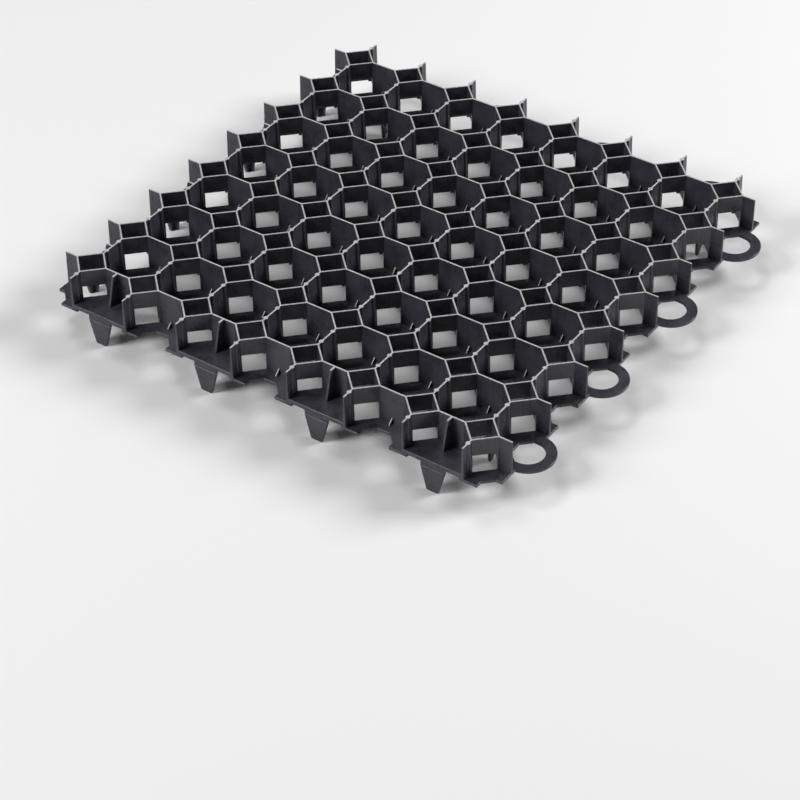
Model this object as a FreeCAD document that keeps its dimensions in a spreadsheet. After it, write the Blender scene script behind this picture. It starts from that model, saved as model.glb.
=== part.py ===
import FreeCAD, Part
import os

# Grass paver grid, one injection moulding, sizes in millimetres.
# Bars cross on a square pitch, and every crossing opens into a square cell turned by 45 degrees.
# Two sides carry pegs under raised half floors, the two opposite sides carry flat rings for a neighbour's pegs.

doc = FreeCAD.newDocument("grass_paver_grid")

# Sizes that are chosen
SIZES = [
    ("pitch", 62.5),
    ("cell_count", 8),
    ("body_height", 38.0),
    ("square_half_diagonal", 17.5),
    ("wall_top", 1.6),
    ("wall_base", 3.6),
    ("plate_thick", 2.8),
    ("hole_flats", 32.5),
    ("window_wide", 22.5),
    ("window_high", 20.6),
    ("floor_low", 3.1),
    ("floor_high", 7.5),
    ("ring_radius", 26.5),
    ("ring_inset", 3.75),
    ("lock_clearance", 1.0),
    ("peg_top_wide", 25.6),
    ("peg_tip_wide", 12.0),
    ("peg_drop", 27.0),
    ("peg_thick", 3.2),
    ("peg_tip_radius", 1.5),
    ("neck_drop", 1.2),
    ("neck_setback", 0.8),
    ("web_thick", 2.2),
    ("web_tip_deep", 7.2),
    ("web_root_deep", 11.0),
    ("rib_thick", 2.0),
    ("rib_top_deep", 7.0),
    ("rib_foot_deep", 16.0),
    ("spike_thick", 2.8),
    ("spike_inset", 3.1),
    ("spike_tip_long", 4.0),
    ("spike_root_long", 26.0),
    ("spike_draft", 1.5),
]

# Sizes worked out from the chosen ones
DERIVED = [
    ("overall", "=pitch * cell_count"),
    ("outline", "=pitch * cell_count / 2"),
    ("first_row", "=-pitch * (cell_count - 1) / 2"),
    ("square_side", "=square_half_diagonal * sqrt(2)"),
    ("hole_half", "=hole_flats / 2"),
    ("wall_foot", "=wall_base - (wall_base - wall_top) * plate_thick / body_height"),
    ("locks_per_side", "=floor(cell_count / 2)"),
    ("first_lock", "=-outline + pitch"),
    ("relief_radius", "=ring_radius + lock_clearance"),
    ("ring_reach", "=ring_radius - ring_inset"),
    ("last_cell", "=outline - pitch"),
    ("spike_line", "=hole_half + spike_inset"),
]

sheet = doc.addObject("Spreadsheet::Sheet", "sizes")
for row, (name, value) in enumerate(SIZES + DERIVED, start=1):
    sheet.set("A%d" % row, name)
    sheet.set("B%d" % row, str(value))
    sheet.setAlias("B%d" % row, name)
doc.recompute()


def turned(axis, degrees):
    return FreeCAD.Rotation(FreeCAD.Vector(*axis), degrees)


Z = (0, 0, 1)
LEVEL = turned(Z, 0)
# A wedge is drawn along its own Y, so it is stood up first
UPRIGHT = turned((1, 0, 0), 90)


# Binds an object's sizes and place to the sheet
def bind(item, sizes, place, turn):
    item.Placement = FreeCAD.Placement(FreeCAD.Vector(0, 0, 0), turn)
    for key, formula in sizes.items():
        item.setExpression(key, formula)
    for axis, formula in zip("xyz", place):
        item.setExpression("Placement.Base." + axis, formula)
    return item


# One tile of the lattice, drawn at the first crossing
tile = doc.addObject("PartDesign::Body", "tile")


def feature(kind, name, sizes, place, turn):
    item = tile.newObject("PartDesign::" + kind, name)
    item.Refine = False
    return bind(item, sizes, place, turn)


FIRST = ("sizes.first_row", "sizes.first_row", "0")
EDGE = ("-sizes.outline", "-sizes.outline", "0")

# Base plate of the tile, with a quarter of an eight-sided hole at each corner
plate = feature(
    "AdditiveBox", "plate",
    {"Length": "sizes.pitch", "Width": "sizes.pitch", "Height": "sizes.plate_thick"}, EDGE, LEVEL)
HOLE = {"Circumradius": "sizes.hole_half / cos(22.5)", "Height": "sizes.plate_thick"}
for k in range(4):
    corner = (
        "-sizes.outline + %d * sizes.pitch" % (k % 2),
        "-sizes.outline + %d * sizes.pitch" % (k // 2), "0")
    hole = feature("SubtractivePrism", "hole_%d" % (k + 1), HOLE, corner, turned(Z, 22.5))
    hole.Polygon = 8

# Straight bars with draft, both ways
BAR = {
    "Xmin": "-sizes.pitch / 2", "Xmax": "sizes.pitch / 2",
    "X2min": "-sizes.pitch / 2", "X2max": "sizes.pitch / 2",
    "Ymin": "0", "Ymax": "sizes.body_height",
    "Zmin": "-sizes.wall_base / 2", "Zmax": "sizes.wall_base / 2",
    "Z2min": "-sizes.wall_top / 2", "Z2max": "sizes.wall_top / 2",
}
bar_x = feature("AdditiveWedge", "bar_x", BAR, FIRST, UPRIGHT)
bar_y = feature("AdditiveWedge", "bar_y", BAR, FIRST, turned(Z, 90) * UPRIGHT)


# Square cell as a drafted frustum, outside first and then the open inside
def frustum(sign):
    low = "(sizes.square_side %s sizes.wall_base) / 2" % sign
    high = "(sizes.square_side %s sizes.wall_top) / 2" % sign
    return {
        "Xmin": "-" + low, "Xmax": low, "X2min": "-" + high, "X2max": high,
        "Ymin": "0", "Ymax": "sizes.body_height",
        "Zmin": "-" + low, "Zmax": low, "Z2min": "-" + high, "Z2max": high,
    }


DIAMOND = turned(Z, 45) * UPRIGHT
shell = feature("AdditiveWedge", "square_shell", frustum("+"), FIRST, DIAMOND)
core = feature("SubtractiveWedge", "square_core", frustum("-"), FIRST, DIAMOND)

# Windows through the walls of the square cell, open downwards through the plate
REACH = "(sizes.square_side + sizes.wall_foot) / 2"
WINDOW = {
    "Xmin": "-" + REACH, "Xmax": REACH, "X2min": "-" + REACH, "X2max": REACH,
    "Ymin": "0", "Ymax": "sizes.window_high",
    "Zmin": "-sizes.window_wide / 2", "Zmax": "sizes.window_wide / 2",
    "Z2min": "-sizes.window_wide / 2", "Z2max": "sizes.window_wide / 2",
}
rising = feature("SubtractiveWedge", "windows_rising", WINDOW, FIRST, turned(Z, 45) * UPRIGHT)
falling = feature("SubtractiveWedge", "windows_falling", WINDOW, FIRST, turned(Z, -45) * UPRIGHT)
falling.Refine = True
doc.recompute()

# Locks along the sides
CELL = {"Circumradius": "sizes.pitch / 2 / cos(22.5)", "Height": "sizes.floor_high - sizes.floor_low"}
RELIEF = {"Radius": "sizes.relief_radius", "Height": "sizes.floor_low"}
RIB = {
    "Xmin": "-sizes.rib_thick / 2", "Xmax": "sizes.rib_thick / 2",
    "X2min": "-sizes.rib_thick / 2", "X2max": "sizes.rib_thick / 2",
    "Ymin": "sizes.floor_low", "Ymax": "sizes.body_height",
    "Zmin": "0", "Zmax": "sizes.rib_foot_deep", "Z2min": "0", "Z2max": "sizes.rib_top_deep",
}
# A peg is a tapered blade under a neck that is set back, stiffened by a web behind it
PEG = {
    "Xmin": "-sizes.peg_tip_wide / 2", "Xmax": "sizes.peg_tip_wide / 2",
    "X2min": "-sizes.peg_top_wide / 2", "X2max": "sizes.peg_top_wide / 2",
    "Ymin": "-sizes.peg_drop", "Ymax": "-sizes.neck_drop",
    "Zmin": "-sizes.peg_thick", "Zmax": "0", "Z2min": "-sizes.peg_thick", "Z2max": "0",
}
NECK = {
    "Xmin": "-sizes.peg_top_wide / 2", "Xmax": "sizes.peg_top_wide / 2",
    "X2min": "-sizes.peg_top_wide / 2", "X2max": "sizes.peg_top_wide / 2",
    "Ymin": "-sizes.neck_drop", "Ymax": "sizes.floor_low",
    "Zmin": "-sizes.peg_thick", "Zmax": "-sizes.neck_setback",
    "Z2min": "-sizes.peg_thick", "Z2max": "-sizes.neck_setback",
}
WEB = {
    "Xmin": "-sizes.web_thick / 2", "Xmax": "sizes.web_thick / 2",
    "X2min": "-sizes.web_thick / 2", "X2max": "sizes.web_thick / 2",
    "Ymin": "-sizes.peg_drop", "Ymax": "sizes.floor_low",
    "Zmin": "-sizes.web_tip_deep", "Zmax": "-sizes.peg_thick / 2",
    "Z2min": "-sizes.web_root_deep", "Z2max": "-sizes.peg_thick / 2",
}
SPIKE = {
    "Xmin": "-sizes.spike_thick / 2", "Xmax": "sizes.spike_thick / 2",
    "X2min": "-sizes.spike_thick / 2", "X2max": "sizes.spike_thick / 2",
    "Ymin": "-sizes.peg_drop", "Ymax": "sizes.plate_thick / 2",
    "Zmin": "-sizes.spike_tip_long", "Zmax": "0",
    "Z2min": "sizes.spike_draft - sizes.spike_root_long", "Z2max": "sizes.spike_draft",
}
RING = {"Radius": "sizes.ring_radius", "Height": "sizes.plate_thick"}
EYE = {"Radius": "sizes.hole_half", "Height": "sizes.plate_thick"}

reliefs = []
cells = []
joined = []
pegs = []
eyes = []


def lock(group, kind, name, sizes, place, turn):
    item = bind(doc.addObject("Part::" + kind, name), sizes, place, turn)
    group.append(item)
    return item


for k in range(int(sheet.get("locks_per_side"))):
    along = "(sizes.first_lock + %d * 2 * sizes.pitch)" % k
    number = "_%d" % (k + 1)

    # Peg cells on the front and left sides: plate relieved for a ring, raised half floor, rib and peg
    for side, front in (("front", True), ("left", False)):
        turn = LEVEL if front else turned(Z, -90)

        def spot(across, up="0"):
            inward = "-sizes.outline + " + across
            return (along, inward, up) if front else (inward, along, up)

        lock(reliefs, "Cylinder", "relief_" + side + number, RELIEF, spot("-sizes.ring_inset"), turn)
        cell = lock(cells, "Prism", "cell_" + side + number, CELL, spot("0", "sizes.floor_low"), turned(Z, 22.5))
        cell.Polygon = 8
        lock(joined, "Wedge", "rib_" + side + number, RIB, spot("sizes.pitch / 2"), turn * UPRIGHT)
        lock(pegs, "Wedge", "peg_" + side + number, PEG, spot("0"), turn * UPRIGHT)
        lock(joined, "Wedge", "neck_" + side + number, NECK, spot("0"), turn * UPRIGHT)
        lock(joined, "Wedge", "web_" + side + number, WEB, spot("0"), turn * UPRIGHT)

    # Rings on the right and back sides, level with the plate
    inset = "sizes.outline - sizes.ring_inset"
    for side, place, turn in (
            ("right", (inset, along, "0"), turned(Z, -90)),
            ("back", (along, inset, "0"), LEVEL)):
        lock(joined, "Cylinder", "ring_" + side + number, RING, place, turn).Angle = 180
        lock(eyes, "Cylinder", "eye_" + side + number, EYE, place, turn).Angle = 180


# Ground spikes under the ledges of the four corner cells, upright in front and sloping away behind
for k in range(4):
    across = "%d * sizes.last_cell + sizes.spike_line" % (-1 if k % 2 == 0 else 1)
    along = "%d * sizes.last_cell" % (-1 if k < 2 else 1)
    lock(joined, "Wedge", "spike_%d" % (k + 1), SPIKE, (across, along, "0"), UPRIGHT)


def gathered(name, items):
    group = doc.addObject("Part::Compound", name)
    group.Links = items
    return group


# Half floors: the cells cut off at the outline
inside = bind(
    doc.addObject("Part::Box", "inside"),
    {"Length": "sizes.overall", "Width": "sizes.overall", "Height": "sizes.body_height"}, EDGE, LEVEL)
floors = doc.addObject("Part::Common", "floors")
floors.Base = gathered("cells", cells)
floors.Tool = inside
doc.recompute()


# A bare copy of a shape, free of the naming records that make large joins slow
def bare(item):
    copy = Part.Shape()
    copy.importBrepFromString(item.Shape.exportBrepToString())
    return copy


# A peg with the corners of its tip rounded
def rounded(item):
    blade = bare(item)
    low = blade.BoundBox.ZMin
    tip = [e for e in blade.Edges if max(v.Z for v in e.Vertexes) < low + 0.01]
    tip = [e for e in tip if e.Length < 1.5 * float(sheet.get("peg_thick"))]
    return blade.makeFillet(float(sheet.get("peg_tip_radius")), tip)


# The tile repeated both ways and fused where the bars meet
pitch = float(sheet.get("pitch"))
count = int(sheet.get("cell_count"))
first = bare(tile)
row = first.multiFuse([first.translated(FreeCAD.Vector(pitch * k, 0, 0)) for k in range(1, count)])
row = row.removeSplitter()
field = row.multiFuse([row.translated(FreeCAD.Vector(0, pitch * k, 0)) for k in range(1, count)])

# The locks and spikes fused on
field = field.cut([bare(item) for item in reliefs])
added = bare(floors).Solids + [bare(item) for item in joined] + [rounded(item) for item in pegs]
field = field.multiFuse(added)
field = field.cut([bare(item) for item in eyes]).removeSplitter()
if len(field.Solids) != 1:
    raise RuntimeError("grid is not one solid")

# Frame: level on the peg tips, centred on the outline with its rings
grid = doc.addObject("Part::Feature", "grid")
grid.Label = "grid"
grid.Shape = field.Solids[0]
grid.setExpression("Placement.Base.x", "-sizes.ring_reach / 2")
grid.setExpression("Placement.Base.y", "-sizes.ring_reach / 2")
grid.setExpression("Placement.Base.z", "sizes.peg_drop")
doc.recompute()

for item in doc.Objects:
    if "Invalid" in item.State or "Error" in item.State:
        raise RuntimeError("not built: " + item.Name)
    if hasattr(item, "Shape") and (item.Shape.isNull() or not item.Shape.isValid()):
        raise RuntimeError("not a valid shape: " + item.Name)

os.makedirs("parts", exist_ok=True)
grid.Shape.exportStep("parts/grid.step")
box = grid.Shape.BoundBox
print("grid %.2f x %.2f x %.2f mm" % (box.XLength, box.YLength, box.ZLength))
print("low corner %.2f %.2f %.2f" % (box.XMin, box.YMin, box.ZMin))
print("volume %.1f cm3, faces %d" % (grid.Shape.Volume / 1000.0, len(grid.Shape.Faces)))
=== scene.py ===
import math

import bmesh
import bpy
from mathutils import Matrix, Vector


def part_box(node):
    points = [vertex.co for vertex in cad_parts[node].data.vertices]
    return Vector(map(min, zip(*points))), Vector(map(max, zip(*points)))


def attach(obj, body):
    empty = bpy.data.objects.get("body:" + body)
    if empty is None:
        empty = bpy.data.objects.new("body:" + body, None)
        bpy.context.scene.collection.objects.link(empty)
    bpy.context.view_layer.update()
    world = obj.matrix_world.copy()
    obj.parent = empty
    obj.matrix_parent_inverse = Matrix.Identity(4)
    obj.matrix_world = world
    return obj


# Moulded grass paver grid in near-black recycled plastic, on a pale studio floor. Lengths are in metres.

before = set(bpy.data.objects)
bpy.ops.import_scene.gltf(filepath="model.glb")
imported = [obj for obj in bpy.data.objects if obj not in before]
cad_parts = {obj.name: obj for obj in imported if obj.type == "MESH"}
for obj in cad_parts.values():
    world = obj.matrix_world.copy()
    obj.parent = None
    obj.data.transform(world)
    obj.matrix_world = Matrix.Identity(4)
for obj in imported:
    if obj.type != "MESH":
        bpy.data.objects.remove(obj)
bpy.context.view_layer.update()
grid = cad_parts["grid"]

MM = 0.001

# Sizes of the lattice, as in the part's source
PITCH = 62.5 * MM
CELLS = 8
PLATE_TOP = 29.8 * MM
PEG_NECK = 25.8 * MM
SQUARE_HALF_DIAGONAL = 17.5 * MM
WALL_BASE = 3.6 * MM
WALL_TOP = 1.6 * MM

# The lattice starts at the low corner of the grid's box, and only the rings reach past its other two sides
low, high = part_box("grid")
OUTLINE = PITCH * CELLS / 2
CENTRE = Vector((low.x + OUTLINE, low.y + OUTLINE, 0.0))
RIM = high.z

# Plastic: two shades of the mottle, and how fine its patterns are along X, Y and Z
DARK_SHADE = (0.0175, 0.0169, 0.0240, 1.0)
PALE_SHADE = (0.0638, 0.0621, 0.0805, 1.0)
MOTTLE_SCALE = (60.0, 60.0, 60.0)
STREAK_SCALE = (260.0, 260.0, 12.0)
GRAIN_SCALE = (420.0, 420.0, 420.0)
GRAIN_DEPTH = 0.1 * MM
ROUGHNESS = (0.22, 0.38)

# Most of a noise lies between these two values
NOISE_SPAN = (0.3, 0.7)

# Painted highlight: a pale band along the top rims, standing in for the gloss the rounded rims catch
HIGHLIGHT_BAND_DEEP = 0.6 * MM
HIGHLIGHT_BAND_FADE = 0.15 * MM
RIM_HIGHLIGHT_COLOUR = (0.62, 0.62, 0.63, 1.0)

# Rounding of the outer edges
EDGE_RADIUS = 0.55 * MM
EDGE_SEGMENTS = 3
EDGE_ANGLE = math.radians(35)
LEVEL_TOLERANCE = 0.05 * MM
WELD_GAP = 0.02 * MM

# Round posts on the bars, near the square cells
POST_PROUD = 1.4 * MM
POST_GAP = 4.9 * MM
POST_SINK = 0.05 * MM
POST_SIDES = 12

# Gussets between the bars and the plate, at mid-span
GUSSET_DEEP = 4.9 * MM
GUSSET_HIGH = 4.9 * MM
GUSSET_THICK = 1.0 * MM
FRONT_FACE = Matrix.Identity(4)
LEFT_FACE = Matrix.Rotation(math.radians(-90), 4, "Z")

# Studio
FLOOR_SIZE = 30.0
FLOOR_COLOUR = (0.9, 0.9, 0.9, 1.0)
FLOOR_ROUGHNESS = 0.9
SKY_COLOUR = (1.0, 1.0, 1.0, 1.0)
SKY_STRENGTH = 0.10
LAMP_AIM = Vector((0.0, 0.0, 0.05))

# Camera: where it stands, its right hand, where it looks, and its lens as pixels of the picture
EYE = Vector((1.10575, -1.65220, 1.47340))
RIGHT = Vector((0.82506, 0.56501, -0.00621))
AHEAD = Vector((-0.44050, 0.63628, -0.63333))
FOCAL_PX = 2538.1
IMAGE_PX = 800.0
SENSOR_WIDTH = 36.0


# Node helpers

def new_material(name):
    material = bpy.data.materials.new(name)
    material.use_nodes = True
    return material


# Noise in the object's own coordinates; a small scale along one axis stretches it that way
def noise(nodes, links, scale, detail):
    place = nodes.new("ShaderNodeTexCoord")
    spread = nodes.new("ShaderNodeMapping")
    spread.inputs["Scale"].default_value = scale
    links.new(place.outputs["Object"], spread.inputs["Vector"])
    field = nodes.new("ShaderNodeTexNoise")
    field.inputs["Scale"].default_value = 1.0
    field.inputs["Detail"].default_value = detail
    links.new(spread.outputs["Vector"], field.inputs["Vector"])
    return field.outputs["Fac"]


def map_range(nodes, links, value, source, target):
    node = nodes.new("ShaderNodeMapRange")
    node.inputs["From Min"].default_value = source[0]
    node.inputs["From Max"].default_value = source[1]
    node.inputs["To Min"].default_value = target[0]
    node.inputs["To Max"].default_value = target[1]
    links.new(value, node.inputs["Value"])
    return node.outputs["Result"]


# Math on one or two values, each of them a socket or a number
def calculate(nodes, links, operation, first, second=None):
    node = nodes.new("ShaderNodeMath")
    node.operation = operation
    for value, socket in zip((first, second), node.inputs):
        if isinstance(value, bpy.types.NodeSocket):
            links.new(value, socket)
        elif value is not None:
            socket.default_value = value
    return node.outputs["Value"]


def compare(nodes, links, value, operation, limit):
    node = nodes.new("FunctionNodeCompare")
    node.data_type = "FLOAT"
    node.operation = operation
    node.inputs["B"].default_value = limit
    links.new(value, node.inputs["A"])
    return node.outputs["Result"]


def combine(nodes, links, first, operation, second):
    node = nodes.new("FunctionNodeBooleanMath")
    node.operation = operation
    links.new(first, node.inputs[0])
    links.new(second, node.inputs[1])
    return node.outputs["Boolean"]


# Recycled plastic: mottled near-black, streaked up the walls, with a pale highlight painted along the top
# rims
def black_plastic():
    material = new_material("recycled_black_plastic")
    nodes = material.node_tree.nodes
    links = material.node_tree.links
    shader = nodes["Principled BSDF"]
    shader.inputs["IOR"].default_value = 1.5

    mottle = noise(nodes, links, MOTTLE_SCALE, detail=4.0)
    streak = noise(nodes, links, STREAK_SCALE, detail=2.0)
    grain = noise(nodes, links, GRAIN_SCALE, detail=3.0)

    flow = map_range(nodes, links, streak, source=NOISE_SPAN, target=(0.85, 1.15))
    cloud = calculate(nodes, links, "MULTIPLY", mottle, flow)
    tint = nodes.new("ShaderNodeValToRGB")
    darkest, palest = tint.color_ramp.elements
    darkest.position = 0.05
    darkest.color = DARK_SHADE
    palest.position = 0.85
    palest.color = PALE_SHADE
    links.new(cloud, tint.inputs["Fac"])

    # Painted highlight: in a band just below the rim the colour is mixed towards a pale grey, patchy with
    # the grain
    place = nodes.new("ShaderNodeTexCoord")
    axes = nodes.new("ShaderNodeSeparateXYZ")
    links.new(place.outputs["Object"], axes.inputs["Vector"])
    band = (RIM - HIGHLIGHT_BAND_DEEP, RIM - HIGHLIGHT_BAND_FADE)
    rim = map_range(nodes, links, axes.outputs["Z"], source=band, target=(0.0, 1.0))
    patchy = map_range(nodes, links, grain, source=NOISE_SPAN, target=(0.6, 1.0))
    painted_highlight = calculate(nodes, links, "MULTIPLY", rim, patchy)
    highlight_mix = nodes.new("ShaderNodeMix")
    highlight_mix.data_type = "RGBA"
    highlight_mix.inputs["B"].default_value = RIM_HIGHLIGHT_COLOUR
    links.new(painted_highlight, highlight_mix.inputs["Factor"])
    links.new(tint.outputs["Color"], highlight_mix.inputs["A"])
    links.new(highlight_mix.outputs["Result"], shader.inputs["Base Color"])

    sheen = map_range(nodes, links, cloud, source=(0.2, 0.8), target=ROUGHNESS)
    links.new(sheen, shader.inputs["Roughness"])

    relief = nodes.new("ShaderNodeBump")
    relief.inputs["Strength"].default_value = 0.30
    relief.inputs["Distance"].default_value = GRAIN_DEPTH
    links.new(grain, relief.inputs["Height"])
    links.new(relief.outputs["Normal"], shader.inputs["Normal"])
    return material


# Marks the outer corners at the top, at the level of the plate, on the pegs and spikes and around the border
def rounded_edges():
    tree = bpy.data.node_groups.new("rounded_edges", "GeometryNodeTree")
    tree.interface.new_socket("Geometry", in_out="INPUT", socket_type="NodeSocketGeometry")
    tree.interface.new_socket("Geometry", in_out="OUTPUT", socket_type="NodeSocketGeometry")
    nodes = tree.nodes
    links = tree.links
    angle = nodes.new("GeometryNodeInputMeshEdgeAngle")
    place = nodes.new("GeometryNodeInputPosition")
    axes = nodes.new("ShaderNodeSeparateXYZ")
    links.new(place.outputs["Position"], axes.inputs["Vector"])
    height = axes.outputs["Z"]

    corner = compare(nodes, links, angle.outputs["Signed Angle"], "GREATER_THAN", EDGE_ANGLE)
    top = compare(nodes, links, height, "GREATER_THAN", RIM - LEVEL_TOLERANCE)
    under = compare(nodes, links, height, "LESS_THAN", PEG_NECK - LEVEL_TOLERANCE)

    off_plate = calculate(nodes, links, "SUBTRACT", height, PLATE_TOP)
    off_plate = calculate(nodes, links, "ABSOLUTE", off_plate)
    plate = compare(nodes, links, off_plate, "LESS_THAN", LEVEL_TOLERANCE)

    across = calculate(nodes, links, "SUBTRACT", axes.outputs["X"], CENTRE.x)
    across = calculate(nodes, links, "ABSOLUTE", across)
    along = calculate(nodes, links, "SUBTRACT", axes.outputs["Y"], CENTRE.y)
    along = calculate(nodes, links, "ABSOLUTE", along)
    reach = calculate(nodes, links, "MAXIMUM", across, along)
    border = compare(nodes, links, reach, "GREATER_THAN", OUTLINE - LEVEL_TOLERANCE)

    chosen = combine(nodes, links, top, "OR", under)
    chosen = combine(nodes, links, chosen, "OR", plate)
    chosen = combine(nodes, links, chosen, "OR", border)
    chosen = combine(nodes, links, corner, "AND", chosen)

    start = nodes.new("NodeGroupInput")
    mark = nodes.new("GeometryNodeStoreNamedAttribute")
    mark.data_type = "FLOAT"
    mark.domain = "EDGE"
    mark.inputs["Name"].default_value = "bevel_weight_edge"
    end = nodes.new("NodeGroupOutput")
    links.new(start.outputs["Geometry"], mark.inputs["Geometry"])
    links.new(chosen, mark.inputs["Value"])
    links.new(mark.outputs["Geometry"], end.inputs["Geometry"])
    return tree


# The node's loose triangles are welded first, so that its edges have an angle to go by
def round_edges(node):
    weld = node.modifiers.new("weld", "WELD")
    weld.merge_threshold = WELD_GAP
    marked = node.modifiers.new("marked", "NODES")
    marked.node_group = rounded_edges()
    bevel = node.modifiers.new("round", "BEVEL")
    bevel.width = EDGE_RADIUS
    bevel.segments = EDGE_SEGMENTS
    bevel.profile = 0.5
    bevel.limit_method = "WEIGHT"
    bevel.material = -1
    bevel.harden_normals = True
    bevel.use_clamp_overlap = False
    bevel.loop_slide = False


# Middles of the spans along a bar, from the lattice's centre, with the half spans at its two ends
def span_middles():
    return [(k - CELLS / 2) * PITCH for k in range(CELLS + 1)]


# Where the bars lie across their own direction, from the lattice's centre
def bar_lines():
    return [(k - (CELLS - 1) / 2) * PITCH for k in range(CELLS)]


def on_bar_along_x(line, along):
    return CENTRE + Vector((along, line, 0.0))


def on_bar_along_y(line, along):
    return CENTRE + Vector((line, along, 0.0))


# A post follows the draft of its bar, and ends just below the rim
def add_post(mesh, place):
    middle = Vector((place.x, place.y, (RIM + PLATE_TOP) / 2 - POST_SINK))
    bmesh.ops.create_cone(
        mesh,
        cap_ends=True,
        segments=POST_SIDES,
        depth=RIM - PLATE_TOP,
        radius1=WALL_BASE / 2 + POST_PROUD,
        radius2=WALL_TOP / 2 + POST_PROUD,
        matrix=Matrix.Translation(middle),
    )


# A gusset is a triangle from the bar's middle plane out past its face, given its thickness along the bar
def add_gusset(mesh, place, face_turn):
    side = -GUSSET_THICK / 2
    corners = [
        (side, 0.0, 0.0),
        (side, -WALL_BASE / 2 - GUSSET_DEEP, 0.0),
        (side, 0.0, WALL_BASE / 2 + GUSSET_HIGH),
    ]
    near = [mesh.verts.new(corner) for corner in corners]
    triangle = mesh.faces.new(near)
    grown = bmesh.ops.extrude_face_region(mesh, geom=[triangle])["geom"]
    far = [item for item in grown if isinstance(item, bmesh.types.BMVert)]
    bmesh.ops.translate(mesh, verts=far, vec=(GUSSET_THICK, 0.0, 0.0))
    foot = Matrix.Translation(Vector((place.x, place.y, PLATE_TOP)))
    bmesh.ops.transform(mesh, matrix=foot @ face_turn, verts=near + far)


# On the two peg sides, every other span of the outermost bar has a rib in place of a gusset
def has_rib(line, middle):
    outermost = line < PITCH - OUTLINE
    cell = round((middle + OUTLINE) / PITCH)
    return outermost and cell % 2 == 1


# Posts stand on the bars along Y, gussets on the front of bars along X and on the left of bars along Y
def bar_relief(plastic):
    mesh = bmesh.new()
    post_reach = PITCH / 2 - SQUARE_HALF_DIAGONAL - POST_GAP
    for line in bar_lines():
        for middle in span_middles():
            for along in (middle - post_reach, middle + post_reach):
                if abs(along) < OUTLINE:
                    add_post(mesh, on_bar_along_y(line, along))
            whole_span = abs(middle) < OUTLINE - PITCH / 2
            if whole_span and not has_rib(line, middle):
                add_gusset(mesh, on_bar_along_x(line, middle), FRONT_FACE)
                add_gusset(mesh, on_bar_along_y(line, middle), LEFT_FACE)
    bmesh.ops.recalc_face_normals(mesh, faces=mesh.faces[:])

    data = bpy.data.meshes.new("bar_relief")
    mesh.to_mesh(data)
    mesh.free()
    data.materials.append(plastic)
    piece = bpy.data.objects.new("bar_relief", data)
    bpy.context.collection.objects.link(piece)
    return piece


# An area lamp turned to the middle of the grid
def softbox(name, place, width, height, watts):
    data = bpy.data.lights.new(name, "AREA")
    data.shape = "RECTANGLE"
    data.size = width
    data.size_y = height
    data.energy = watts
    lamp = bpy.data.objects.new(name, data)
    bpy.context.collection.objects.link(lamp)
    lamp.location = place
    lamp.rotation_euler = (LAMP_AIM - Vector(place)).to_track_quat("-Z", "Y").to_euler()


# The grid and its fine relief

plastic = black_plastic()
grid.data.materials.clear()
grid.data.materials.append(plastic)
round_edges(grid)

relief = bar_relief(plastic)
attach(relief, "root")

# Floor and light

bpy.ops.mesh.primitive_plane_add(size=FLOOR_SIZE)
floor = bpy.context.object
floor.name = "floor"
floor_paint = new_material("pale_floor")
paint = floor_paint.node_tree.nodes["Principled BSDF"]
paint.inputs["Base Color"].default_value = FLOOR_COLOUR
paint.inputs["Roughness"].default_value = FLOOR_ROUGHNESS
floor.data.materials.append(floor_paint)

world = bpy.data.worlds.new("studio")
world.use_nodes = True
sky = world.node_tree.nodes["Background"]
sky.inputs["Color"].default_value = SKY_COLOUR
sky.inputs["Strength"].default_value = SKY_STRENGTH
bpy.context.scene.world = world

softbox("left_high", (-1.65, 0.68, 3.30), width=1.2, height=0.8, watts=24.0)
softbox("right_back", (2.16, 2.16, 1.91), width=1.4, height=1.0, watts=104.0)
softbox("left_front", (-1.90, -2.85, 2.35), width=1.4, height=1.4, watts=104.0)

# Camera with a long lens, looking down over the corner between the peg and ring sides

lens = bpy.data.cameras.new("camera")
lens.sensor_width = SENSOR_WIDTH
lens.lens = FOCAL_PX / IMAGE_PX * SENSOR_WIDTH
camera = bpy.data.objects.new("camera", lens)
bpy.context.collection.objects.link(camera)
back = -AHEAD.normalized()
up = back.cross(RIGHT).normalized()
right = up.cross(back)
turn = Matrix((right, up, back)).transposed().to_4x4()
camera.matrix_world = Matrix.Translation(EYE) @ turn
bpy.context.scene.camera = camera

bpy.context.scene.view_settings.view_transform = "Standard"
